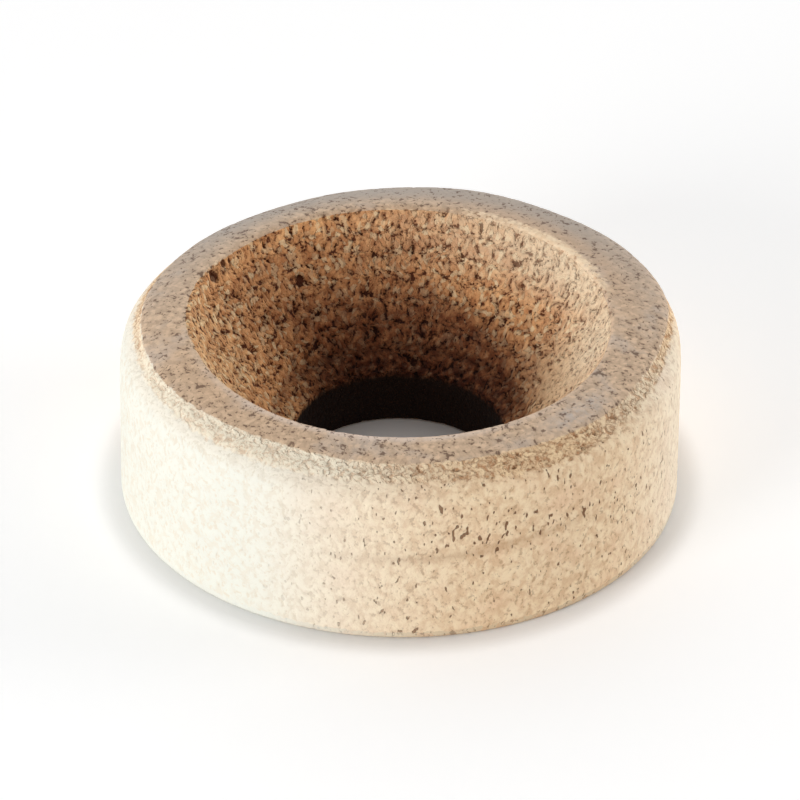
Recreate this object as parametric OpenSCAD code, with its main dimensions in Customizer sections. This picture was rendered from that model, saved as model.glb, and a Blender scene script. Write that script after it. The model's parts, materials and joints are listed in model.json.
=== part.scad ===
// Cork ring: a stand for round-bottomed flasks, turned from one block of pressed
// cork granules. The foot is flat, the bore goes right through it, and above the bore
// a hollow seat widens to the rim. Origin at the centre of the foot, +Z up.

/* [Ring] */
// Outside diameter
outer_d = 80; // [78:1:120]
// Height from the foot to the crest of the inner rim
height = 27.5; // [24:0.5:36]
// Fall of the top face from the rim outwards, in degrees
top_slope = 10; // [0:1:15]

/* [Seat] */
// Diameter of the crest of the inner rim, where the seat meets the top face
rim_d = 61; // [54:1:62]
// Radius of the seat's hollow curve, larger being nearer to a straight cone
seat_curve_r = 90; // [60:5:400]

/* [Bore] */
// Diameter of the straight bore
bore_d = 30; // [24:1:36]
// Height of the top of the straight bore
bore_h = 8.3; // [5:0.1:12]

/* [Edges] */
// Radius of the rounded shoulder round the top of the outside wall
shoulder_r = 4; // [1:0.5:5]
// Radius of the rounded inner rim
rim_r = 0.8; // [0.4:0.1:1.5]
// Radius of the foot's outer edge
foot_r = 0.8; // [0.2:0.1:2]
// Radius of the foot's edge round the bore
bore_edge_r = 0.6; // [0.2:0.1:2]

/* [Hidden] */
$fn = 180;

cork_colour = [0.87, 0.74, 0.57];
// The top face and the seat cut this far into the rounded edges that they run into,
// so that line and arc cross cleanly there.
overlap = 0.004;

// The half section is drawn with x as the radius and y as the height.
outer_r = outer_d / 2;
bore_r = bore_d / 2;
top_normal = [sin(top_slope), cos(top_slope)];

// Centres of the rounded edges
rim_centre = [rim_d / 2, height - rim_r];
shoulder_x = outer_r - shoulder_r;
shoulder_y = rim_centre.y + (rim_r - shoulder_r) / cos(top_slope)
    - (shoulder_x - rim_centre.x) * tan(top_slope);
shoulder_centre = [shoulder_x, shoulder_y];
foot_centre = [outer_r - foot_r, foot_r];
bore_edge_centre = [bore_r + bore_edge_r, bore_edge_r];

// The seat is an arc from the top of the bore to the side of the rounded rim. Its
// centre lies seat_curve_r from the one point and seat_reach from the rim's centre.
bore_top = [bore_r, bore_h];
seat_reach = seat_curve_r + rim_r - overlap;
seat_run = norm(rim_centre - bore_top);
along = (rim_centre - bore_top) / seat_run;
across = [-along.y, along.x];
centre_along = (seat_curve_r ^ 2 - seat_reach ^ 2 + seat_run ^ 2) / (2 * seat_run);
centre_across = sqrt(seat_curve_r ^ 2 - centre_along ^ 2);
seat_centre = bore_top + centre_along * along + centre_across * across;
seat_side = (seat_centre - rim_centre) / seat_reach;

// Straight-sided outline of the half section, with its hollow still filled above the bore
module blank() {
    polygon([
        [bore_r, bore_edge_r],
        [bore_r + bore_edge_r, 0],
        [outer_r - foot_r, 0],
        [outer_r, foot_r],
        [outer_r, shoulder_y],
        shoulder_centre + (shoulder_r - overlap) * top_normal,
        rim_centre + (rim_r - overlap) * top_normal,
        rim_centre,
        rim_centre + 2 * rim_r * seat_side,
        [bore_r, height]
    ]);
}

module rounded_edges() {
    translate(rim_centre) circle(r = rim_r);
    translate(shoulder_centre) circle(r = shoulder_r);
    translate(foot_centre) circle(r = foot_r);
    translate(bore_edge_centre) circle(r = bore_edge_r);
}

module half_section() {
    difference() {
        union() {
            blank();
            rounded_edges();
        }
        translate(seat_centre) circle(r = seat_curve_r);
    }
}

module cork_ring() {
    color(cork_colour) rotate_extrude() half_section();
}

cork_ring();
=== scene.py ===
import itertools
import json
import math
import bpy
import numpy as np
from mathutils import Matrix, Vector


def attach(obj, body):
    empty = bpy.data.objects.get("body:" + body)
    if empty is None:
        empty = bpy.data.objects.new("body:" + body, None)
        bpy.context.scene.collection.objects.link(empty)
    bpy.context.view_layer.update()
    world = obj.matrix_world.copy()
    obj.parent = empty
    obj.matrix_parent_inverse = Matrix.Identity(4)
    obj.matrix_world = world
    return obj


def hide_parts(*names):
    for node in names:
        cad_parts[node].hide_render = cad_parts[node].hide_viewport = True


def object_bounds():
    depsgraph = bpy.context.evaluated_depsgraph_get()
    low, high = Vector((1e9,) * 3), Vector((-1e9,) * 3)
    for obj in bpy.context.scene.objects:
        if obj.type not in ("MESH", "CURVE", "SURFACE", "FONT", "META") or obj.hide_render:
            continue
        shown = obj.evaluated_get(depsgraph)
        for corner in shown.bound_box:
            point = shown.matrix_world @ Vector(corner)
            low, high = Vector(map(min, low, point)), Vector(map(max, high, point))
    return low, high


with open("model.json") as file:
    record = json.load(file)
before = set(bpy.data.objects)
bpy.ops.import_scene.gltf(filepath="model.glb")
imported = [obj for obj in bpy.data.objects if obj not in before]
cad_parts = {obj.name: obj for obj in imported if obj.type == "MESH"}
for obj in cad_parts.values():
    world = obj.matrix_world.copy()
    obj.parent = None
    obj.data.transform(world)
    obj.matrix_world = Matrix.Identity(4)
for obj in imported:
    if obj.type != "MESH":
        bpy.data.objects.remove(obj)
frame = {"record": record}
cadBox = [[float(v) for v in corner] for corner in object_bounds()]
mm = 0.001

# The camera, which stands in front of the ring, at -Y

view = {
    "elevation": 34.3,     # degrees above the table
    "distance": 1.04,      # metres from the middle of the foot
    "aim": 0.0135,         # height that it looks at, metres
    "lens": 325,           # mm
    "sensor": 36,          # mm
    "clip": (0.01, 50),    # metres that it sees from and to
    "roll": 0.65,          # degrees, lifting the ring's right side a little
}


def placeCamera():
    data = bpy.data.cameras.new("camera")
    data.lens = view["lens"]
    data.sensor_width = view["sensor"]
    data.clip_start, data.clip_end = view["clip"]
    camera = bpy.data.objects.new("camera", data)
    bpy.context.scene.collection.objects.link(camera)
    up = math.radians(view["elevation"])
    camera.location = (0, -view["distance"] * math.cos(up), view["distance"] * math.sin(up))
    look = Vector((0, 0, view["aim"])) - camera.location
    turn = look.to_track_quat("-Z", "Y").to_matrix().to_4x4()
    tilt = Matrix.Rotation(math.radians(view["roll"]), 4, "Z")
    camera.matrix_world = Matrix.Translation(camera.location) @ turn @ tilt
    bpy.context.scene.camera = camera


placeCamera()
print("camera placed")

# The cork's granules, as numbers. The mesh and the material both use them.

granule = {
    "size": 1.25,          # mm between granules
    "tall": 1.3,           # how much taller than wide they are
    "sway": 0.22,          # mm that the granules are pushed out of their even mix
    "swayPace": 2.3,       # radians of that push for each mm
    "crumb": 1.1,          # torn lumps for each granule
    "crumbShare": 2.2,     # how much the lumps decide where the cork is hollow
    "crumbSteps": 2,       # finer and finer noise in the lumps
    "crumbRough": 0.6,     # height of each finer step, as a share of the one before
}


def turnBits(v, count):
    return (v << np.uint32(count)) | (v >> np.uint32(32 - count))


# Jenkins' hash of three or four words, with its own shifts. The Voronoi node uses the
# same one, so the granules of the mesh and those of the material lie in the same places.
def mixWords(words):
    start = np.uint32(0xDEADBEEF + 4 * len(words) + 13)
    a, b, c = (w + start for w in words[:3])
    if len(words) == 4:
        for count in (4, 6, 8, 16, 19, 4):
            a, c = (a - c) ^ turnBits(c, count), c + b
            a, b, c = b, c, a
        a = a + words[3]
    for count in (14, 11, 25, 16, 4, 14, 24):
        c = (c ^ b) - turnBits(b, count)
        a, b, c = b, c, a
    return b


# Three random numbers from 0 to 1 for each cell
def chanceAt(cell):
    words = [np.ascontiguousarray(v, np.float32).view(np.uint32) for v in cell.T]
    extra = [np.full(len(cell), k, np.float32).view(np.uint32) for k in (1, 2)]
    mixed = [mixWords(words), mixWords(words + extra[:1]), mixWords(words + extra[1:])]
    return np.stack(mixed, 1) / 0xFFFFFFFF


# Each point's distance to the middle of the nearest granule, and three random numbers
# that belong to that granule
def nearestGranule(place):
    cell = np.floor(place)
    nearest = np.full(len(place), np.inf)
    chance = np.zeros_like(place)
    for step in itertools.product((-1, 0, 1), repeat=3):
        offset = chanceAt(cell + step)
        reach = np.linalg.norm(cell + step + offset - place, axis=1)
        closer = reach < nearest
        nearest = np.where(closer, reach, nearest)
        chance[closer] = offset[closer]
    return nearest, chance


# Perlin's noise: each corner of a grid cell gives a slope, and the slopes are faded
# together by t cubed times (6 t squared - 15 t + 10). The Noise node makes the same one.
def slopeNoise(place):
    cell = np.floor(place)
    inside = place - cell
    share = inside ** 3 * (inside * (inside * 6 - 15) + 10)
    total = np.zeros(len(place))
    for corner in itertools.product((0, 1), repeat=3):
        whole = (cell + corner).astype(np.int32).T.copy()
        kind = mixWords([w.view(np.uint32) for w in whole]) & np.uint32(15)
        x, y, z = (inside - corner).T
        first = np.where(kind < 8, x, y)
        other = np.where(kind < 4, y, np.where((kind == 12) | (kind == 14), x, z))
        slope = np.where(kind & 1, -first, first) + np.where(kind & 2, -other, other)
        total += slope * np.prod(np.where(corner, share, 1 - share), axis=1)
    return 0.982 * total   # the Noise node's own scale


# That noise at finer and finer steps, each lower than the last, from 0 to 1
def noiseAt(place, steps, roughness):
    heights = roughness ** np.arange(steps + 1)
    layers = [h * slopeNoise(place * 2 ** k) for k, h in enumerate(heights)]
    return 0.5 * sum(layers) / heights.sum() + 0.5


# 0 below low and 1 above high, and between them 3 t squared - 2 t cubed
def smoothStep(low, high, v):
    t = np.clip((v - low) / (high - low), 0, 1)
    return t * t * (3 - 2 * t)


# Place in mm, swayed by sines of the other two axes, then in granule sizes
def swayed(place):
    pushed = place + granule["sway"] * np.sin(place[:, [1, 2, 0]] * granule["swayPace"])
    return pushed / (granule["size"] * np.array([1, 1, granule["tall"]]))


# How hollow the cork is: high between granules and where the torn lumps are low
def hollowAt(place):
    scaled = swayed(place)
    gap, chance = nearestGranule(scaled)
    crumb = noiseAt(scaled * granule["crumb"], granule["crumbSteps"], granule["crumbRough"])
    return gap + granule["crumbShare"] * (0.5 - crumb), chance


# The ring's shape

ring = {
    "around": 572,         # points round the ring
    "rimR": 30.5,          # mm, radius of the crest of the inner rim
    "topSlope": 10,        # degrees that the top face falls outwards
    "seatCurveR": 90,      # mm, hollow curve of the seat
    "shoulderR": 4.0,      # mm, rounded top of the outside wall
    "rimRound": 0.8,       # mm, rounded inner rim
    "footR": 0.8,          # mm, rounded foot outside
    "boreEdgeR": 0.6,      # mm, rounded foot at the bore
    "inset": 0.03,         # mm that the surface lies inside the turned shape
    # points along each stretch of the half section
    "rows": {"seat": 82, "rim": 10, "face": 17, "shoulder": 24, "wall": 27,
             "footEdge": 4, "foot": 3, "boreEdge": 3, "bore": 4},
    "uvMargin": 0.004,     # free border of the UV map
}


# An arc from start to end in degrees, without its last point
def arcPoints(centre, radius, start, end, count):
    turn = np.radians(np.linspace(start, end, count, endpoint=False))
    return np.stack([centre[0] + radius * np.cos(turn), centre[1] + radius * np.sin(turn)], 1)


# A straight line from start to end, without its last point
def linePoints(start, end, count):
    share = np.linspace(0, 1, count, endpoint=False)[:, None]
    return np.array(start) * (1 - share) + np.array(end) * share


# The half section, from the top of the bore up the seat, over the rim, down the outside
# and back under the foot: the radius and height in mm of each stretch's points
def halfSection():
    low, high = (np.array(corner) / mm for corner in cadBox)
    bore = {m["name"]: m for m in frame["record"]["mounts"]}["bore"]
    outerR, height, boreR = round(high[0], 1), high[2], bore["dims"]["r_mm"]
    boreTop = np.array([boreR, ring["boreEdgeR"] + bore["dims"]["length_mm"]])
    slope = math.radians(ring["topSlope"])
    rimR, shoulderR = ring["rimRound"], ring["shoulderR"]
    rim = np.array([ring["rimR"], height - rimR])
    shoulderX = outerR - shoulderR
    shoulder = np.array([shoulderX, rim[1] + (rimR - shoulderR) / math.cos(slope)
                         - (shoulderX - rim[0]) * math.tan(slope)])
    # the seat's arc goes through the top of the bore and touches the rim's arc
    run = np.linalg.norm(rim - boreTop)
    along = (rim - boreTop) / run
    across = np.array([-along[1], along[0]])
    seatR = ring["seatCurveR"]
    alongIt = (seatR ** 2 - (seatR + rimR) ** 2 + run ** 2) / (2 * run)
    seat = boreTop + alongIt * along + math.sqrt(seatR ** 2 - alongIt ** 2) * across
    seatStart = math.degrees(math.atan2(*(boreTop - seat)[::-1]))
    seatEnd = math.degrees(math.atan2(*(rim - seat)[::-1]))
    faceTurn = 90 - ring["topSlope"]
    normal = np.array([math.sin(slope), math.cos(slope)])
    rows, footR, edgeR = ring["rows"], ring["footR"], ring["boreEdgeR"]
    faceStart, faceEnd = rim + rimR * normal, shoulder + shoulderR * normal
    return {
        "seat": arcPoints(seat, seatR, seatStart, seatEnd, rows["seat"]),
        "rim": arcPoints(rim, rimR, seatEnd + 180, faceTurn, rows["rim"]),
        "face": linePoints(faceStart, faceEnd, rows["face"]),
        "shoulder": arcPoints(shoulder, shoulderR, faceTurn, 0, rows["shoulder"]),
        "wall": linePoints((outerR, shoulder[1]), (outerR, footR), rows["wall"]),
        "footEdge": arcPoints((outerR - footR, footR), footR, 0, -90, rows["footEdge"]),
        "foot": linePoints((outerR - footR, 0), (boreR + edgeR, 0), rows["foot"]),
        "boreEdge": arcPoints((boreR + edgeR, edgeR), edgeR, 270, 180, rows["boreEdge"]),
        "bore": linePoints((boreR, edgeR), boreTop, rows["bore"]),
    }


profile = halfSection()
section = np.concatenate(list(profile.values()))
stretchNames = list(profile)
stretchOf = np.concatenate([np.full(len(p), k) for k, p in enumerate(profile.values())])
behind = np.roll(section, 1, 0)
tangent = np.roll(section, -1, 0) - behind
tangent /= np.linalg.norm(tangent, axis=1)[:, None]
sectionNormal = np.stack([-tangent[:, 1], tangent[:, 0]], 1)
stride = np.linalg.norm(section - behind, axis=1)
runLength = np.cumsum(stride)

# The grid of the mesh is round the ring by along the section. fromRim and fromFace are
# the mm along the section from the crest of the rim and from where the shoulder starts.
angle = np.linspace(0, 2 * math.pi, ring["around"], endpoint=False)[:, None]
turnCos, turnSin = np.cos(angle), np.sin(angle)
one = np.ones_like(angle)
radius, height = section[None, :, 0] * one, section[None, :, 1] * one
fromRim = (runLength - runLength[stretchOf == stretchNames.index("rim")].mean())[None, :]
fromFace = (runLength - runLength[stretchOf == stretchNames.index("shoulder")][0])[None, :]


# 1 along the named stretches of the section and 0 off them, faded over a length in mm
def stretchShare(names, fade):
    inside = np.isin(stretchOf, [stretchNames.index(n) for n in names]).astype(float)
    gap = np.abs(runLength[:, None] - runLength[None, :])
    gap = np.minimum(gap, runLength[-1] - gap)
    weight = np.exp(-(gap / fade) ** 2) * stride[None, :]
    return ((weight * inside[None, :]).sum(1) / weight.sum(1))[None, :]


# A smooth hump round the ring: 1 at the middle angle and 0 past the half width
def sector(middle, halfWidth):
    gap = np.abs((np.degrees(angle) - middle + 180) % 360 - 180)
    return 1 - smoothStep(0, halfWidth, gap)


# A sum of such humps, each given as its height, middle and half width
def humps(spec):
    return sum(tall * sector(middle, halfWidth) for tall, middle, halfWidth in spec)


# A sum of sines round the ring, each given as its height, how many there are and its start
def waves(spec):
    return sum(tall * np.sin(count * angle + start) for tall, count, start in spec)


# 1 at the middle and falling to both sides, as e to the minus square of the distance
def band(v, middle, width):
    return np.exp(-((v - middle) / width) ** 2)


# Where each finish of the cork lies. Places round the ring are in degrees, 0 at the right
# and 90 behind, and lengths are in mm.

finish = {
    # the edge that broke away under the pressed face: where it starts and ends along the
    # section from the shoulder's start, and humps and waves that move both
    "edgeStart": -1.6, "edgeStartWaves": [(0.25, 7, 0)], "edgeStartFade": 0.5,
    "edgeStartHumps": [(1.2, 175, 55), (1.9, 0, 50), (4.0, 90, 120), (0.7, 310, 35),
                       (0.8, 199, 30), (2.2, 27, 32)],
    "edgeEnd": 2.1, "edgeEndWaves": [(0.2, 5, 0)], "edgeEndFade": 1.2,
    "edgeEndHumps": [(0.8, 308, 40), (2.3, 90, 120), (1.4, 27, 32)],
    "tornRim": [(0.8, 172, 45)],     # where the seat's torn cork runs on over the rim
    "footTop": 0.05,                 # height below which all is sanded foot
    "seatFade": 0.4, "footFade": 0.3, "boreFade": 0.9,    # how softly each one ends
    # the bore's dark wall is painted shade
    "boreSpread": 1.4,               # how far the bore's dark wall reaches into its fade
    # chips in the inner rim: degrees round the ring, mm outwards from the rim, mm across
    "chips": [(155.0, -1.3, 1.6), (148.8, -0.9, 1.0)],
    "chipEdge": 1.4,                 # how sharply a chip's edge falls off
    # Patches of a finish: how strong it is, its middle and half width round the ring,
    # then a length, and how the patch lies there. A band has a middle and a width, and a
    # rise goes from nothing to full between two places.
    "patches": {
        # partly painted highlight: the inner rim paler and smoother at the back right, where the key
        # lamp falls, over a smooth pale bevel
        "rim": [(1.0, 43, 74, "fromRim", "band", 0, 1.9)],
        # painted highlight: a thin light line along the crest of the rim at the front
        "crest": [(1.0, 262, 85, "fromRim", "band", 0.6, 0.5)],
        # painted light: the shoulder painted paler on the left, where the key lamp falls, and a little
        # at the front right
        "cream": [(1.6, 225, 72), (0.5, 336, 28)],
        "pore": [(1.0, 290, 52, "poreHeight", "band", 16, 3.2)],
        "streak": [(1.0, 284, 40, "streakHeight", "band", 14, 0.7)],
        "warm": [(1.0, 45, 65, "radius", "band", 32.5, 2.6),
                 (0.8, 215, 45, "radius", "band", 32.5, 2.6)],
        "cool": [(1.0, 318, 17, "radius", "band", 33.6, 1.8)],
        # partly painted light: the seat paler on the right and behind, where the key lamp falls, over a
        # paler, smoother cork
        "pale": [(1.0, 0, 42, "height", "rise", 10, 15),
                 (1.0, 32, 85, "height", "rise", 17, 26)],
        "sandy": [(1.0, 195, 50, "height", "rise", 12, 18)],
        # painted light: the wall's left side and the foot edge below it, where the key lamp falls,
        # painted paler, and nearly white just below the shoulder
        "bleach": [(1.5, 210, 82, "radius", "rise", 33, 37.5),
                   (0.5, 350, 35, "radius", "rise", 33, 37.5)],
        "white": [(1.8, 206, 62, "fromFace", "rise", 3, 5.5)],
        # partly painted shade: the face's outer part darker and greyer, most towards the back, over its
        # own grey tint
        "outer": [(1.6, 90, 105, "fromFace", "rise", -7.5, -1.5)],
    },
    "poreWaves": [(1.5, 3, 0)],      # sway of the large pores' height
    "streakWaves": [(0.5, 5, 0)],    # sway of the groove's height
    # Shade low in the seat: how strong it is, how much of it goes between which heights,
    # and its middle and half width, each with a shift that it has made between two heights
    "shades": {
        "dusk": (1.9, [(0.6, 14, 21), (0.4, 22, 27)], (74, 43, 9, 20), (105, -47, 9, 17)),
        "gloom": (1.9, [(0.5, 9, 11.5), (0.5, 13, 20)], (72, -12, 11, 15), (110, -25, 11, 15)),
    },
}

lengths = {
    "radius": radius, "height": height, "fromRim": fromRim, "fromFace": fromFace,
    "poreHeight": height - waves(finish["poreWaves"]),
    "streakHeight": height - waves(finish["streakWaves"]),
}


# A patch is its sector times its band or rise
def patchAt(strong, middle, halfWidth, length=None, shape=None, *spot):
    share = np.clip(strong * sector(middle, halfWidth), 0, 1)
    if shape == "band":
        share = share * band(lengths[length], *spot)
    if shape == "rise":
        share = share * smoothStep(*spot, lengths[length])
    return share


# A shade is its sector, which moves with the height, less what has gone by that height
def shadeAt(strong, losses, middle, halfWidth):
    def shifted(start, shift, low, high):
        return start + shift * smoothStep(low, high, height)

    kept = 1 - sum(loss * smoothStep(low, high, height) for loss, low, high in losses)
    return kept * np.clip(strong * sector(shifted(*middle), shifted(*halfWidth)), 0, 1)


# A chip is 1 at its middle and falls off to all sides along the surface, as e to the
# minus square of the distance
def chipAt(turn, out, size):
    aside = (angle - math.radians(turn)) * ring["rimR"]
    return np.exp(-(aside ** 2 + (fromRim - out) ** 2) / (size / finish["chipEdge"]) ** 2)


edgeStart = finish["edgeStart"] + waves(finish["edgeStartWaves"]) + humps(finish["edgeStartHumps"])
edgeEnd = finish["edgeEnd"] + waves(finish["edgeEndWaves"]) + humps(finish["edgeEndHumps"])
startFade, endFade = finish["edgeStartFade"], finish["edgeEndFade"]
pastStart = smoothStep(edgeStart - startFade, edgeStart + startFade, fromFace)
pastEnd = smoothStep(edgeEnd - endFade, edgeEnd + endFade, fromFace)
aboveFoot = smoothStep(0, finish["footTop"], height)
torn = stretchShare(["seat", "bore", "boreEdge"], finish["seatFade"])
torn = torn + humps(finish["tornRim"]) * stretchShare(["rim"], finish["seatFade"])
torn = np.clip(torn, 0, 1) * aboveFoot

# Each zone is the share of a finish, on the grid of the mesh
zones = {
    "seat": torn,
    "face": (1 - torn) * (1 - pastStart),
    "shoulder": (1 - torn) * pastStart * (1 - pastEnd),
    "foot": np.maximum(stretchShare(["foot", "footEdge"], finish["footFade"]), 1 - aboveFoot),
    "bore": np.clip(finish["boreSpread"] * stretchShare(["bore", "boreEdge"], finish["boreFade"]), 0, 1),
    "chip": sum(chipAt(*chip) for chip in finish["chips"]),
}
for name, patches in finish["patches"].items():
    zones[name] = np.maximum.reduce([patchAt(*patch) for patch in patches])
for name, shade in finish["shades"].items():
    zones[name] = shadeAt(*shade)
for name in ("bore", "bleach"):
    zones[name] = zones[name] * aboveFoot

# How the cork is worn and torn, in mm below the turned shape

wear = {
    # the shoulder is rubbed down at the back left and stands a little fuller at the
    # back right, and low waves run round it
    "shoulderHumps": [(-1.15, 132, 62), (0.5, 34, 50), (-0.45, 190, 50), (-0.35, 352, 32)],
    "shoulderWaves": [(0.08, 5, 1), (0.06, 11, 0)],
    "shoulderFade": 2.2,
    "pit": 0.45,               # gaps between granules where the cork is rough
    "pitRise": (0.7, 1.05),    # how hollow the cork is where a gap starts and is full
    "lump": 0.15,              # hollows between the torn lumps
    "uneven": 0.14,            # how unevenly the granules stand
    "shoulderUneven": 1.3,     # how much more so on the shoulder, as a share
    "sandedPit": 0.08, "sandedUneven": 0.04,     # the same two where the cork is sanded
    "broken": 0.45,            # the broken edge under the pressed face
    "brokenStart": (-0.9, 1.3), "brokenEnd": (2, 6.5),     # where that starts and ends
    "groove": 0.12, "chip": 0.7,
    "toolStep": 0.22, "toolHeight": 11.0, "toolWidth": 0.5,    # a step low in the seat
    # how rough the shoulder is, and how much smoother some zones are, as shares
    "shoulderRough": 0.85, "paintedLightSmooth": 0.62, "rimSmooth": 0.75, "paleSmooth": 0.5,
    "boreSmooth": 0.8,
}


# Radius and height turned round the axis, as x, y and z
def sweep(across, up):
    return np.stack([across * turnCos, across * turnSin, up + 0 * turnCos], -1)


turned = sweep(radius, height)
outward = sweep(sectionNormal[None, :, 0], sectionNormal[None, :, 1])
place = turned.reshape(-1, 3)
hollow, chance = (v.reshape(*radius.shape, -1) for v in hollowAt(place))
hollow, level = hollow[..., 0], chance[..., 1]
pit = smoothStep(*wear["pitRise"], hollow)

rough = zones["seat"] * (1 - wear["rimSmooth"] * zones["rim"])
rough = rough * (1 - wear["paleSmooth"] * zones["pale"])
rough = rough + zones["shoulder"] * (wear["shoulderRough"] - wear["paintedLightSmooth"] * zones["bleach"])
rough = np.clip(rough, 0, 1) * (1 - wear["boreSmooth"] * zones["bore"])
sanded = (1 - rough) * (1 - zones["bore"])
unevenDepth = wear["uneven"] * (1 + wear["shoulderUneven"] * zones["shoulder"]) * level
brokenFrom, brokenTo = (edgeStart + past for past in wear["brokenStart"])
broken = smoothStep(brokenFrom, brokenTo, fromFace) * (1 - smoothStep(*wear["brokenEnd"], fromFace))
relief = stretchShare(["shoulder"], wear["shoulderFade"]) * (humps(wear["shoulderHumps"])
                                                      + waves(wear["shoulderWaves"]))
relief -= rough * (wear["pit"] * pit + unevenDepth + wear["lump"] * np.clip(hollow, 0, 1))
relief -= sanded * (wear["sandedPit"] * pit + wear["sandedUneven"] * level)
relief -= wear["broken"] * broken
relief -= wear["groove"] * zones["streak"]
relief -= wear["chip"] * zones["chip"]
relief -= wear["toolStep"] * zones["seat"] * band(height, wear["toolHeight"], wear["toolWidth"])
relief = relief * (1 - zones["foot"]) - ring["inset"]
worn = turned + outward * relief[..., None]
worn[..., 2] = np.clip(worn[..., 2], 0, None)


# The UV map: the ring unrolled into two strips of half a turn each, one above the other,
# for each corner of each face
def unrolled():
    around, rows = radius.shape
    column, row = np.meshgrid(np.arange(around), np.arange(rows), indexing="ij")
    strip = 2 * column // around
    step = np.array([(0, 0), (0, 1), (1, 1), (1, 0)])
    rowPlace = np.append(runLength - stride[0], runLength[-1]) / runLength[-1]
    u = 2 * (column[..., None] + step[:, 0]) / around - strip[..., None]
    v = rowPlace[row[..., None] + step[:, 1]]
    margin = ring["uvMargin"]
    return np.stack([margin + (1 - 2 * margin) * u,
                     (strip[..., None] + 2 * margin + (1 - 4 * margin) * v) / 2], -1)


# Each face joins two neighbours along the section with two neighbours round the ring, and
# both directions close on themselves
def buildRing():
    around, rows = radius.shape
    index = np.arange(around * rows).reshape(around, rows)
    right, up = np.roll(index, -1, 0), np.roll(index, -1, 1)
    quads = np.stack([index, up, np.roll(right, -1, 1), right], -1).reshape(-1, 4)
    mesh = bpy.data.meshes.new("corkRing")
    mesh.vertices.add(index.size)
    mesh.vertices.foreach_set("co", (worn * mm).astype(np.float32).ravel())
    mesh.loops.add(quads.size)
    mesh.loops.foreach_set("vertex_index", quads.ravel().astype(np.int32))
    mesh.polygons.add(len(quads))
    mesh.polygons.foreach_set("loop_start", np.arange(0, quads.size, 4, dtype=np.int32))
    mesh.polygons.foreach_set("loop_total", np.full(len(quads), 4, np.int32))
    mesh.polygons.foreach_set("use_smooth", np.ones(len(quads), bool))
    mesh.update(calc_edges=True)
    uvMap = mesh.uv_layers.new(name="OFBake")
    uvMap.data.foreach_set("uv", unrolled().astype(np.float32).ravel())
    layer = mesh.attributes.new("blockPlace", "FLOAT_VECTOR", "POINT")
    layer.data.foreach_set("vector", place.astype(np.float32).ravel())
    for name, share in zones.items():
        layer = mesh.attributes.new(name + "Zone", "FLOAT", "POINT")
        whole = np.broadcast_to(share, radius.shape)
        layer.data.foreach_set("value", whole.astype(np.float32).ravel())
    piece = bpy.data.objects.new("cork_ring_body", mesh)
    bpy.context.scene.collection.objects.link(piece)
    return piece


corkRing = buildRing()
print("ring mesh", len(corkRing.data.polygons) * 2, "triangles")

# The cork's finishes

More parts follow.
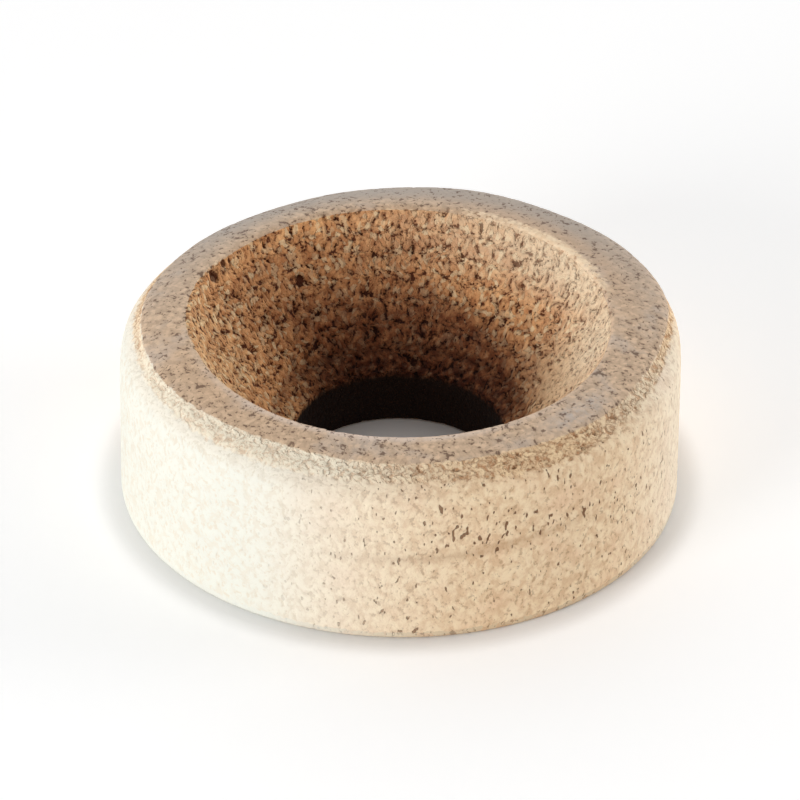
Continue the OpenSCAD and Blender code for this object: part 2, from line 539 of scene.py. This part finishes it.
cork = {
    "fineSize": 0.7,       # mm between the smallest granules
    "gloss": 0.25,         # specular level
    "roughness": (0.75, 0.92),     # where it is sanded or pressed, and where it is torn
    # sRGB colours
    "colours": {
        "wall": (253, 228, 191), "wallDark": (224, 186, 146), "blush": (243, 204, 168),
        "pore": (122, 82, 52), "streak": (190, 150, 110),
        # painted light: the pale colours of the wall's lit left side
        "ivory": (247, 242, 228), "paintedLightColour": (237, 239, 230), "paintedLightGrain": (235, 229, 213),
        "seat": (252, 193, 134), "seatDark": (192, 124, 76), "seatTip": (255, 228, 182),
        # the pale and gold seat colours are partly painted light, where the key lamp falls in the seat
        "seatPale": (255, 232, 198), "seatGold": (255, 219, 174), "seatSand": (230, 202, 154),
        "seatBrown": (134, 73, 40), "pit": (92, 48, 26), "deep": (110, 58, 36),
        # dusk and gloom are painted shade low in the seat, and the bore colour is painted shade, the
        # bore's wall nearly black
        "dusk": (170, 147, 140), "gloom": (134, 112, 112), "bore": (36, 23, 17),
        # the pale edge colour is painted light, for the shoulder's lit left side
        "shoulder": (254, 222, 178), "edgePale": (255, 243, 219), "edgePit": (178, 116, 72),
        "edgeFleck": (206, 146, 94),
        "face": (231, 200, 168), "faceDark": (174, 148, 124), "faceCool": (196, 188, 182),
        # the outer face colour is partly painted shade, darker and greyer towards the back
        "faceWarm": (206, 168, 132), "faceOuter": (176, 168, 160), "speck": (104, 78, 62),
        # the crest colour is a painted highlight along the front of the rim, and the rim colour is
        # partly painted highlight
        "crest": (234, 214, 198), "rim": (255, 230, 196), "foot": (226, 202, 168),
    },
    # The layers over each finish's own colour. A layer is a colour, how much of it shows,
    # and the masks that it follows. A mask with numbers starts at the first one and is
    # full at the second, and more numbers are its values there.
    "layers": {
        "wall": [
            ("blush", 0.6, ("patches", 0.45, 0.7)),
            ("wallDark", 0.75, "shade"),
            ("pore", 0.3, ("smallGap", 0.8, 1.0)),
            ("streak", 0.6, "streakZone"),
            # painted light: the wall's lit left side, painted paler
            ("paintedLightCork", 1.0, "bleach"),
            ("pore", 0.9, "pores"),
        ],
        "seat": [
            ("seatDark", 0.4, ("bigTone", 0.1, 0.95)),
            ("seatDark", 0.6, ("mottle", 0.45, 0.7)),
            ("seatTip", 0.8, ("smallChance", 0.6, 0.9)),
            # partly painted light: the seat paler where the key lamp falls
            ("seatLight", 0.95, "paleZone"),
            ("seatSand", 0.35, "sandyZone"),
            ("seatDark", 0.4, "notPale", ("smallTone", 0.3, 1.0)),
            ("seatBrown", 0.6, "notPale", ("smallGap", 0.62, 0.9)),
            ("deep", 0.2, "notPale", "shade"),
            ("deep", 0.4, ("fromStep", 0.2, 0.9, 1.0, 0.0)),
            ("pit", 1.0, "palerPits"),
        ],
        "shoulder": [
            ("wallDark", 0.6, ("smallTone", 0.1, 0.95)),
            # painted light: the shoulder's lit left side, painted paler
            ("edgePale", 1.0, "creamZone"),
            ("edgeMark", 1.0, "flecks"),
        ],
        "face": [
            ("faceDark", 0.4, ("smallTone", 0.1, 0.95)),
            ("faceDark", 0.6, "shade"),
            ("faceCool", 1.0, "coolPatches"),
            # partly painted shade: the face darker and greyer towards the back
            ("faceOuter", 0.8, "outerZone"),
            ("faceWarm", 0.4, "warmZone"),
            # painted highlight along the front of the rim
            ("crest", 1.0, "crestZone", ("mottle", 0.3, 0.55, 0.4, 0.85)),
            ("speck", 0.75, "pits"),
        ],
        # partly painted highlight: the paler rim at the back right
        "rim": [
            ("wallDark", 0.4, ("smallTone", 0.1, 1.0)),
            ("edgePit", 0.5, "pits"),
        ],
        "foot": [
            ("wallDark", 0.8, ("bigTone", 0.2, 1.0)),
            ("pore", 0.6, "pits"),
            # painted light: the foot edge under the wall's lit left side, painted paler
            ("paintedLightColour", 1.0, "bleach"),
        ],
    },
    # what the seat's colour is multiplied by, low down
    "shades": [("dusk", 1.0, "duskZone", ("mottle", 0.3, 0.6, 0.7, 1.0)),
               ("gloom", 1.0, "gloomZone", ("mottle", 0.3, 0.6, 0.7, 1.0))],
    # each zone's border: how far the mottle moves it, where it starts and where it is full
    "borders": {
        "shoulder": (1.4, 0.2, 0.8), "face": (1.4, 0.35, 0.65), "seat": (0.5, 0.42, 0.58),
        "rim": (1.1, 0.5, 0.95), "foot": (1.4, 0.42, 0.58), "chip": (0.8, 0.3, 0.6, 0.0, 0.9),
        "bore": (0.6, 0.05, 0.6),
    },
    # noises: lumps for each mm, finer steps and roughness
    "fine": (3.4, 2.0, 0.6), "patches": (0.13, 3.0, 0.6), "mottle": (0.8, 3.0, 0.65),
    "ragged": 0.9,         # how far the fine noise moves the edges of the gaps
    # how hollow the cork is where pits and shade start and are full
    "bigPits": (0.88, 1.08), "smallPits": (0.86, 1.0), "shade": (0.2, 1.4),
    "shadeSmall": 0.5,     # how much the small granules add to the shade
    # the pale zone is partly painted light, where the key lamp falls in the seat
    "paleShare": 0.65, "palePits": 0.4,    # how far it is lighter and less pitted where pale
    "seatLight": (14.0, 23.0),     # heights in mm between which the pale seat turns paler
    # painted light on the wall's left side: how strong it is, and how hollow the cork is where its grain
    # shows
    "bleach": 0.9, "bigGrain": (0.5, 1.0, 0.0, 0.6), "smallGrain": (0.6, 1.0),
    # large pores of the wall: how their noise is turned, stretched and made, how much
    # the pore zone crowds them, and where they start and are full
    "poreTurn": (0.5, 0.3, 0.7), "poreScale": (1.5, 1.5, 0.8), "poreNoise": (1.0, 1.0, 0.5),
    "poreCrowd": 0.08, "pores": (0.7, 0.75),
    # flecks of the shoulder: how crumbly it is, where crumbs start and are full, how dark
    # crumbs and pits are, and what the cream zone, which is painted light, takes from them
    "crumbNoise": 1.5, "crumbs": (0.95, 1.85), "crumbFlecks": 0.65, "pitFlecks": 0.75,
    "creamFlecks": 0.52,
    # cooler patches of the face, wide ones and those of the cool zone
    "coolPatches": (0.5, 0.7, 0.0, 0.35), "coolMottle": (0.35, 0.6, 0.3, 0.8),
    # fine relief in mm where the cork is smooth and where it is coarse, how hollow it is
    # where gaps start and are full, and how much smoother it is where light is painted on
    "fineDepth": (0.04, 0.2), "gapDepth": (-0.04, -0.3), "poreDepth": (-0.3, 0.0),
    "gaps": (0.3, 1.1), "paintedLightSmooth": 0.72,
}


def linear(name):
    channels = np.array(cork["colours"][name]) / 255
    return (*np.where(channels <= 0.04045, channels / 12.92, ((channels + 0.055) / 1.055) ** 2.4), 1)


# Small tools that add one node each and give back its output socket. A value may be a
# number, the name of a colour, or the socket of another node.

def fill(tree, socket, value):
    if isinstance(value, bpy.types.NodeSocket):
        tree.links.new(value, socket)
    elif isinstance(value, str):
        socket.default_value = linear(value)
    else:
        socket.default_value = value


def addNode(tree, kind, settings=None, inputs=None):
    node = tree.nodes.new("ShaderNode" + kind)
    for key, value in (settings or {}).items():
        setattr(node, key, value)
    for key, value in (inputs or {}).items():
        fill(tree, node.inputs[key], value)
    return node


def calc(tree, operation, *values):
    node = addNode(tree, "Math", {"operation": operation}, dict(enumerate(values)))
    return node.outputs[0]


def vector(tree, operation, *values):
    node = addNode(tree, "VectorMath", {"operation": operation}, dict(enumerate(values)))
    return node.outputs["Value" if operation == "LENGTH" else "Vector"]


def ramp(tree, value, low, high, toLow=0.0, toHigh=1.0):
    values = dict(enumerate((value, low, high, toLow, toHigh)))
    return addNode(tree, "MapRange", {"interpolation_type": "SMOOTHSTEP"}, values).outputs["Result"]


def blend(tree, share, under, over, mode="MIX"):
    settings = {"data_type": "RGBA", "blend_type": mode, "clamp_factor": True}
    return addNode(tree, "Mix", settings, {0: share, 6: under, 7: over}).outputs[2]


def noise(tree, place, scale, detail, roughness):
    inputs = {"Vector": place, "Scale": scale, "Detail": detail, "Roughness": roughness}
    return addNode(tree, "TexNoise", None, inputs).outputs["Fac"]


# Group: the granules of pressed cork at a place in mm. Hollow is high between granules
# and where the torn lumps are low, and Tone and Chance are random numbers of each granule.
def granuleGroup():
    group = bpy.data.node_groups.new("corkGranules", "ShaderNodeTree")
    face = group.interface
    face.new_socket("Place", in_out="INPUT", socket_type="NodeSocketVector")
    size = face.new_socket("Size", in_out="INPUT", socket_type="NodeSocketFloat")
    size.default_value = granule["size"]
    for name in ("Hollow", "Tone", "Chance"):
        face.new_socket(name, in_out="OUTPUT", socket_type="NodeSocketFloat")
    into = group.nodes.new("NodeGroupInput").outputs
    out = group.nodes.new("NodeGroupOutput").inputs
    axes = addNode(group, "SeparateXYZ", None, {0: into["Place"]}).outputs
    turned = addNode(group, "CombineXYZ", None, {"X": axes["Y"], "Y": axes["Z"], "Z": axes["X"]})
    pace, push = (granule["swayPace"],) * 3, (granule["sway"],) * 3
    sway = vector(group, "SINE", vector(group, "MULTIPLY", turned.outputs[0], pace))
    pushed = vector(group, "MULTIPLY_ADD", sway, push, into["Place"])
    shaped = vector(group, "DIVIDE", pushed, (1, 1, granule["tall"]))
    inverse = calc(group, "DIVIDE", 1.0, into["Size"])
    scale = addNode(group, "VectorMath", {"operation": "SCALE"}, {0: shaped, "Scale": inverse})
    scaled = scale.outputs["Vector"]
    cells = addNode(group, "TexVoronoi", {"feature": "F1"}, {"Vector": scaled, "Scale": 1.0}).outputs
    crumb = noise(group, scaled, granule["crumb"], granule["crumbSteps"], granule["crumbRough"])
    share = granule["crumbShare"]
    lifted = calc(group, "ADD", cells["Distance"], share / 2)
    fill(group, out["Hollow"], calc(group, "MULTIPLY_ADD", crumb, -share, lifted))
    chance = addNode(group, "SeparateColor", None, {0: cells["Color"]}).outputs
    fill(group, out["Tone"], chance["Green"])
    fill(group, out["Chance"], chance["Blue"])
    return group


def corkMaterial():
    material = bpy.data.materials.new("pressedCork")
    material.use_nodes = True
    tree = material.node_tree
    shader = tree.nodes["Principled BSDF"]
    group = granuleGroup()
    masks, mixtures = {}, {}

    def attribute(name, output):
        return addNode(tree, "Attribute", {"attribute_name": name}).outputs[output]

    def granules(size):
        return addNode(tree, "Group", {"node_tree": group}, {"Place": place, "Size": size}).outputs

    # one less a share of a mask
    def less(share, mask):
        return calc(tree, "MULTIPLY_ADD", mask, -share, 1.0)

    # where a finish shows, with its border broken up along the granules
    def zone(name):
        wander, *rise = cork["borders"][name]
        moved = calc(tree, "MULTIPLY_ADD", wandering, wander, masks[name + "Zone"])
        return ramp(tree, moved, *rise)

    # the product of a share and the masks that it follows
    def shown(share, follows):
        for follow in follows:
            name, *rise = [follow] if isinstance(follow, str) else follow
            value = ramp(tree, masks[name], *rise) if rise else masks[name]
            share = calc(tree, "MULTIPLY", share, value)
        return share

    # layers of colour laid over each other
    def layered(colour, layers, mode="MIX"):
        for over, share, *follows in layers:
            over = mixtures.get(over, over)
            colour = blend(tree, shown(share, follows), colour, over, mode)
        return colour

    place = attribute("blockPlace", "Vector")
    for name in zones:
        masks[name + "Zone"] = attribute(name + "Zone", "Fac")
    for name in ("fine", "patches", "mottle"):
        masks[name] = noise(tree, place, *cork[name])
    fine, mottle, pale = masks["fine"], masks["mottle"], masks["paleZone"]
    wandering = calc(tree, "SUBTRACT", mottle, 0.5)
    big, small = granules(granule["size"]), granules(cork["fineSize"])
    masks.update(bigTone=big["Tone"], smallTone=small["Tone"], smallChance=small["Chance"])

    # pits between the granules, ragged from the fine noise
    jagged = calc(tree, "MULTIPLY", calc(tree, "SUBTRACT", fine, 0.5), cork["ragged"])
    bigGap = calc(tree, "ADD", jagged, big["Hollow"])
    smallGap = masks["smallGap"] = calc(tree, "ADD", jagged, small["Hollow"])
    pits = calc(tree, "MAXIMUM", ramp(tree, bigGap, *cork["bigPits"]),
                ramp(tree, smallGap, *cork["smallPits"]))
    both = calc(tree, "MULTIPLY_ADD", small["Hollow"], cork["shadeSmall"], bigGap)
    masks.update(pits=pits, shade=ramp(tree, both, *cork["shade"]))

    # painted light on the wall's lit left side, and large pores where no light is painted
    bleach = masks["bleach"] = calc(tree, "MULTIPLY", masks["bleachZone"], cork["bleach"])
    grain = calc(tree, "MAXIMUM", ramp(tree, bigGap, *cork["bigGrain"]),
                 ramp(tree, smallGap, *cork["smallGrain"]))
    light = blend(tree, masks["whiteZone"], "ivory", "paintedLightColour")
    mixtures["paintedLightCork"] = blend(tree, grain, light, "paintedLightGrain")
    upright = addNode(tree, "Mapping", None, {"Vector": place, "Rotation": cork["poreTurn"],
                                              "Scale": cork["poreScale"]}).outputs[0]
    crowd = calc(tree, "MULTIPLY_ADD", masks["poreZone"], cork["poreCrowd"],
                 noise(tree, upright, *cork["poreNoise"]))
    pores = calc(tree, "MULTIPLY", ramp(tree, crowd, *cork["pores"]), less(1.0, bleach))
    masks["pores"] = pores

    # paler parts of the seat, partly painted light where the key lamp falls, and the tool's step
    rise = addNode(tree, "SeparateXYZ", None, {0: place}).outputs["Z"]
    mixtures["seatLight"] = blend(tree, ramp(tree, rise, *cork["seatLight"]), "seatGold", "seatPale")
    fromStep = calc(tree, "ABSOLUTE", calc(tree, "SUBTRACT", rise, wear["toolHeight"]))
    masks.update(notPale=less(cork["paleShare"], pale), fromStep=fromStep,
                 palerPits=calc(tree, "MULTIPLY", pits, less(cork["palePits"], pale)))

    # flecks of the shoulder, fewer where light is painted on it, and cooler patches of the face
    cream = masks["creamZone"]
    mixtures["edgeMark"] = blend(tree, cream, "edgePit", "edgeFleck")
    loose = calc(tree, "MULTIPLY_ADD", fine, cork["crumbNoise"], small["Hollow"])
    crumbs = ramp(tree, loose, *cork["crumbs"])
    flecks = calc(tree, "MAXIMUM", calc(tree, "MULTIPLY", crumbs, cork["crumbFlecks"]),
                  calc(tree, "MULTIPLY", pits, cork["pitFlecks"]))
    masks["flecks"] = calc(tree, "MULTIPLY", flecks, less(cork["creamFlecks"], cream))
    spot = calc(tree, "MULTIPLY", masks["coolZone"], ramp(tree, mottle, *cork["coolMottle"]))
    cool = ramp(tree, masks["patches"], *cork["coolPatches"])
    masks["coolPatches"] = calc(tree, "MAXIMUM", cool, spot)

    # the finishes, each laid over the ones before it
    shows = {name: zone(name) for name in cork["borders"]}
    looks = {name: layered(name, layers) for name, layers in cork["layers"].items()}
    looks["seat"] = layered(looks["seat"], cork["shades"], "MULTIPLY")
    # painted shade: the bore's wall painted nearly black
    looks["seat"] = blend(tree, shows["bore"], looks["seat"], "bore")
    looks["chip"] = "pit"
    colour = looks["wall"]
    for name in ("shoulder", "face", "seat", "rim", "foot", "chip"):
        colour = blend(tree, shows[name], colour, looks[name])
    fill(tree, shader.inputs["Base Color"], colour)
    torn = calc(tree, "MAXIMUM", shows["seat"], shows["shoulder"])
    fill(tree, shader.inputs["Roughness"], ramp(tree, torn, 0.0, 1.0, *cork["roughness"]))
    shader.inputs["Specular IOR Level"].default_value = cork["gloss"]

    # fine relief
    coarse = calc(tree, "MULTIPLY", torn, less(cork["paintedLightSmooth"], bleach))
    fineDepth = calc(tree, "MULTIPLY", fine, ramp(tree, coarse, 0.0, 1.0, *cork["fineDepth"]))
    deepest = ramp(tree, coarse, 0.0, 1.0, *cork["gapDepth"])
    gapDepth = ramp(tree, small["Hollow"], *cork["gaps"], 0.0, deepest)
    covered = calc(tree, "MAXIMUM", torn, shows["face"])
    poreDepth = calc(tree, "MULTIPLY", pores, ramp(tree, covered, 0.0, 1.0, *cork["poreDepth"]))
    depth = calc(tree, "ADD", calc(tree, "ADD", fineDepth, gapDepth), poreDepth)
    bump = addNode(tree, "Bump", None, {"Height": depth, "Distance": mm, "Strength": 1.0})
    fill(tree, shader.inputs["Normal"], bump.outputs[0])
    return material


corkRing.data.materials.append(corkMaterial())
print("cork material made")

# Floor, lamps and world

studio = {
    "floorSize": 3,                # metres from the middle to each side
    "floorColour": (0.93, 0.93, 0.93),
    "floorRoughness": 0.9, "floorGloss": 0.1,
    "floorGlow": 0.26,             # lifts the floor towards white for the camera only
    "glowStart": (0.0405, 0.045),  # metres from the middle between which that lift starts
    "side": 1.15, "top": 0.3,      # how bright the world is low down and overhead
    "lean": 0.85,                  # how much brighter it is behind the ring than in front
    # degrees round from the camera and up, metres away and across, and watts
    "key": {"azimuth": -44, "elevation": 16, "distance": 1.2, "size": 0.55, "power": 8.1},
    "fill": {"azimuth": 100, "elevation": 16, "distance": 1.4, "size": 0.7, "power": 6.0},
}


# A square floor, lifted towards white outside the ring for the camera only
def makeFloor():
    size = studio["floorSize"]
    mesh = bpy.data.meshes.new("floor")
    corners = [(-size, -size, 0), (size, -size, 0), (size, size, 0), (-size, size, 0)]
    mesh.from_pydata(corners, [], [(0, 1, 2, 3)])
    floor = bpy.data.objects.new("floor", mesh)
    bpy.context.scene.collection.objects.link(floor)
    material = bpy.data.materials.new("paleFloor")
    material.use_nodes = True
    tree = material.node_tree
    shader = tree.nodes["Principled BSDF"]
    shader.inputs["Base Color"].default_value = (*studio["floorColour"], 1)
    shader.inputs["Roughness"].default_value = studio["floorRoughness"]
    shader.inputs["Specular IOR Level"].default_value = studio["floorGloss"]
    shader.inputs["Emission Color"].default_value = (1, 1, 1, 1)
    far = vector(tree, "LENGTH", addNode(tree, "TexCoord").outputs["Object"])
    outside = ramp(tree, far, *studio["glowStart"])
    seen = addNode(tree, "LightPath").outputs["Is Camera Ray"]
    glow = calc(tree, "MULTIPLY", calc(tree, "MULTIPLY", outside, seen), studio["floorGlow"])
    fill(tree, shader.inputs["Emission Strength"], glow)
    mesh.materials.append(material)
    return floor


# A round lamp that faces the middle of the foot
def addLamp(name):
    spec = studio[name]
    data = bpy.data.lights.new(name, "AREA")
    data.shape, data.size = "DISK", spec["size"]
    data.energy = spec["power"]
    lamp = bpy.data.objects.new(name, data)
    lamp.visible_camera = False
    bpy.context.scene.collection.objects.link(lamp)
    turn, up = math.radians(spec["azimuth"]), math.radians(spec["elevation"])
    back = Vector((math.sin(turn) * math.cos(up), -math.cos(turn) * math.cos(up), math.sin(up)))
    lamp.location = back * spec["distance"]
    lamp.rotation_euler = (-back).to_track_quat("-Z", "Y").to_euler()


# White for the camera, and for the light a soft sky that is brightest low down and behind
def makeWorld():
    world = bpy.data.worlds.new("studio")
    world.use_nodes = True
    tree = world.node_tree
    background = tree.nodes["Background"]
    background.inputs["Color"].default_value = (1, 1, 1, 1)
    direction = addNode(tree, "TexCoord").outputs["Generated"]
    axes = addNode(tree, "SeparateXYZ", None, {0: direction}).outputs
    upward = {0: axes["Z"], 1: 0.0, 2: 1.0, 3: studio["side"], 4: studio["top"]}
    sky = addNode(tree, "MapRange", None, upward).outputs["Result"]
    leaned = calc(tree, "MULTIPLY_ADD", axes["Y"], studio["lean"], 1.0)
    glow = calc(tree, "MULTIPLY", sky, leaned)
    seen = addNode(tree, "LightPath").outputs["Is Camera Ray"]
    strength = addNode(tree, "Mix", {"data_type": "FLOAT"}, {0: seen, 2: glow, 3: 1.0}).outputs[0]
    fill(tree, background.inputs["Strength"], strength)
    bpy.context.scene.world = world


makeWorld()
floor = makeFloor()
addLamp("key")
addLamp("fill")
bpy.context.scene.view_settings.view_transform = "Standard"
print("floor and lights made")

# Hand over

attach(corkRing, "root")
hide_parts("cork_ring")
